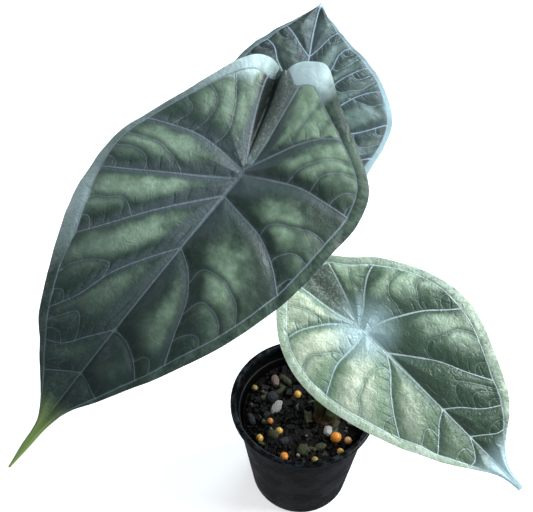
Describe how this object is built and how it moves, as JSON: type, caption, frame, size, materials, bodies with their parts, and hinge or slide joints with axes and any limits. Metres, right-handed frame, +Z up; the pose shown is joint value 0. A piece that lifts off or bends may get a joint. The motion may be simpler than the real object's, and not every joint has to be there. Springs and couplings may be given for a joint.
{
  "type": "potted dragon scale alocasia",
  "caption": "Young alocasia with quilted, veined shield-shaped leaves on slender stalks, standing in a round tapered nursery pot of gritty mix.",
  "frame": {"origin": "centre of the pot's flat underside", "axes": "+Z up along the pot's axis; +Y away from the side that the picture shows"},
  "size_m": [0.1718, 0.2079, 0.2598],
  "materials": {
    "pot": "satin black moulded plastic",
    "soil": "dark bark and grit mix",
    "crown": "smooth green stem skin",
    "stalk": "smooth green stem skin",
    "leaf_a": "waxy dark green leaf, satin",
    "leaf_b": "waxy grey green leaf, satin",
    "leaf_c": "waxy silver green leaf, satin"
  },
  "bodies": {
    "root": {"pot": "pot", "soil": "soil", "crown": "crown", "stalk_a": "stalk", "leaf_a": "leaf_a", "stalk_b": "stalk", "leaf_b": "leaf_b", "stalk_c": "stalk", "leaf_c": "leaf_c"}
  },
  "joints": []
}
